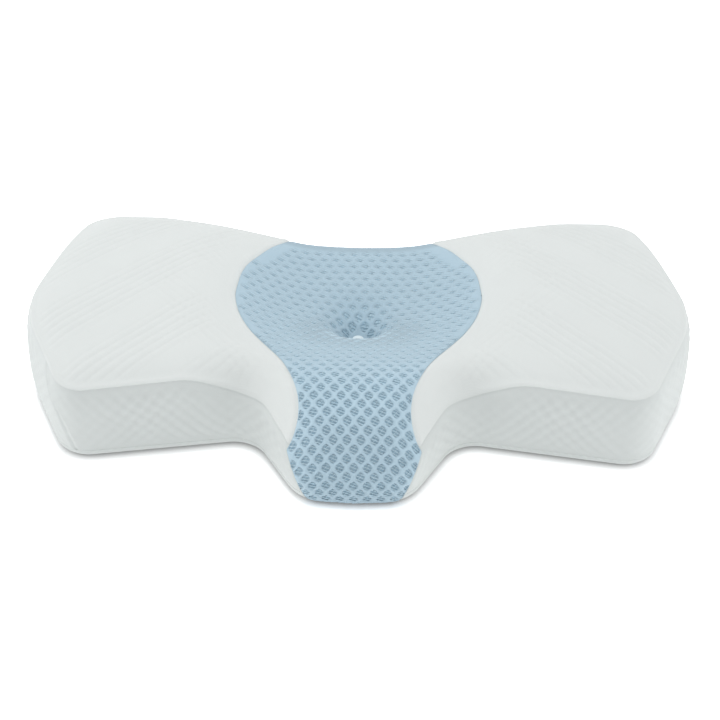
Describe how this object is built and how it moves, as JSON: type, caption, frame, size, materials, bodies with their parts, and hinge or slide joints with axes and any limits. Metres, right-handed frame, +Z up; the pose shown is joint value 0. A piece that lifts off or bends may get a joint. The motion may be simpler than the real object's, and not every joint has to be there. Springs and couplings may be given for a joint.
{
  "type": "contoured cervical pillow",
  "caption": "Contoured neck pillow with a hollowed head bowl, raised side wings, a short front nose, a mesh centre panel with a tuft, and a zipped removable cover.",
  "frame": {"origin": "on the supporting surface, under the middle of the pillow's length and depth", "axes": "+X along the pillow's length to the right wing, +Y from the front nose towards the head end with the zip, +Z up"},
  "size_m": [0.6342, 0.3582, 0.096],
  "materials": {
    "white_knit": "quilted double knit, matt",
    "gusset_knit": "quilted knit of the side walls, matt",
    "blue_net": "open warp-knit mesh, matt",
    "blue_lining": "fine knit behind the mesh, matt",
    "liner_tricot": "thin smooth tricot, matt",
    "foam": "slow-recovery moulded foam with a fine skin",
    "zip_tape": "woven tape, matt",
    "zip_coil": "moulded plastic, slightly glossy",
    "zip_metal": "pale enamel on die-cast metal",
    "tuft_button": "covered button, smooth"
  },
  "bodies": {
    "pillow": {"foam_core": "foam", "liner_upper": "liner_tricot", "liner_lower": "liner_tricot", "cover_left_panel": "white_knit", "cover_right_panel": "white_knit", "mesh_panel": "blue_net", "mesh_lining": "blue_lining", "left_gusset": "gusset_knit", "right_gusset": "gusset_knit", "back_gusset_upper": "gusset_knit", "back_gusset_lower": "gusset_knit", "bottom_panel": "gusset_knit", "zip_tape_upper": "zip_tape", "zip_tape_lower": "zip_tape", "zip_coil_upper": "zip_coil", "zip_coil_lower": "zip_coil", "zip_top_stop_upper": "zip_metal", "zip_top_stop_lower": "zip_metal", "zip_bottom_stop": "zip_metal", "tuft_button": "tuft_button", "tuft_tie": "zip_tape", "tuft_anchor": "zip_coil"},
    "zip_slider": {"zip_slider": "zip_metal"},
    "zip_pull": {"zip_pull": "zip_metal"}
  },
  "joints": [
    {"name": "zip_slide", "type": "hinge", "parent": "pillow", "child": "zip_slider", "pos_m": [0, 0.70155, 0.028], "axis": [0, 0, 1], "range_deg": [-31.2, 0]},
    {"name": "pull_swing", "type": "hinge", "parent": "zip_slider", "child": "zip_pull", "pos_m": [0.14938, 0.16661, 0.028], "axis": [0, 0, 1], "range_deg": [-175, 0]}
  ]
}
